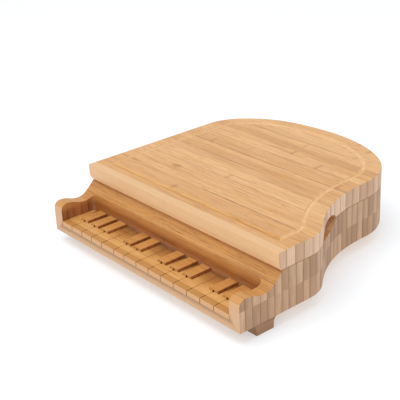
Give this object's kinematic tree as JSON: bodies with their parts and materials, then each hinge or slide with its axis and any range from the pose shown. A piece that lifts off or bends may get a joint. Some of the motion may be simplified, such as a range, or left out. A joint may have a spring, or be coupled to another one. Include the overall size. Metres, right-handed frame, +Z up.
{
  "type": "cheese board set",
  "caption": "Grand-piano-shaped bamboo cheese board on bracket feet, with a carved keyboard and a swivelling cutting-board lid over pockets that hold cheese tools.",
  "frame": {"origin": "on the table under the middle of the board's outline, at the underside of the feet", "axes": "+X to the right along the keys, +Y from the keys towards the tail, +Z up"},
  "size_m": [0.332, 0.338, 0.0844],
  "materials": {
    "base_bamboo": "oiled laminated bamboo, satin",
    "lid_bamboo": "oiled laminated bamboo, satin",
    "keyboard_bamboo": "oiled laminated bamboo, satin",
    "foot_bamboo": "oiled bamboo, satin",
    "handle_bamboo": "oiled bamboo, satin",
    "tool_steel": "brushed stainless steel",
    "fastener_steel": "zinc-plated steel",
    "magnet_nickel": "nickel-plated magnet",
    "bush_nylon": "natural nylon"
  },
  "bodies": {
    "base": {"base_lower_board": "base_bamboo", "base_upper_board": "base_bamboo", "keyboard_slab": "keyboard_bamboo", "sharp_key_01": "keyboard_bamboo", "sharp_key_02": "keyboard_bamboo", "sharp_key_03": "keyboard_bamboo", "sharp_key_04": "keyboard_bamboo", "sharp_key_05": "keyboard_bamboo", "sharp_key_06": "keyboard_bamboo", "sharp_key_07": "keyboard_bamboo", "sharp_key_08": "keyboard_bamboo", "sharp_key_09": "keyboard_bamboo", "sharp_key_10": "keyboard_bamboo", "front_left_foot": "foot_bamboo", "front_right_foot": "foot_bamboo", "rear_foot": "foot_bamboo", "front_left_foot_screw_1": "fastener_steel", "front_left_foot_screw_2": "fastener_steel", "front_right_foot_screw_1": "fastener_steel", "front_right_foot_screw_2": "fastener_steel", "rear_foot_screw_1": "fastener_steel", "rear_foot_screw_2": "fastener_steel", "base_magnet_front": "magnet_nickel", "base_magnet_rear": "magnet_nickel", "pivot_washer": "fastener_steel", "pivot_bush": "bush_nylon", "cheese_knife_handle": "handle_bamboo", "cheese_knife_ferrule": "tool_steel", "cheese_knife_blade": "tool_steel", "cheese_fork_handle": "handle_bamboo", "cheese_fork_ferrule": "tool_steel", "cheese_fork_blade": "tool_steel", "cheese_chisel_handle": "handle_bamboo", "cheese_chisel_ferrule": "tool_steel", "cheese_chisel_blade": "tool_steel"},
    "lid": {"lid_board": "lid_bamboo", "lid_magnet_front": "magnet_nickel", "lid_magnet_rear": "magnet_nickel", "pivot_bolt": "fastener_steel", "pivot_insert": "fastener_steel"}
  },
  "joints": [
    {"name": "lid_swivel", "type": "hinge", "parent": "base", "child": "lid", "pos_m": [-0.12583, 0.09802, 0.0638], "axis": [0, 0, 1], "continuous": true}
  ]
}
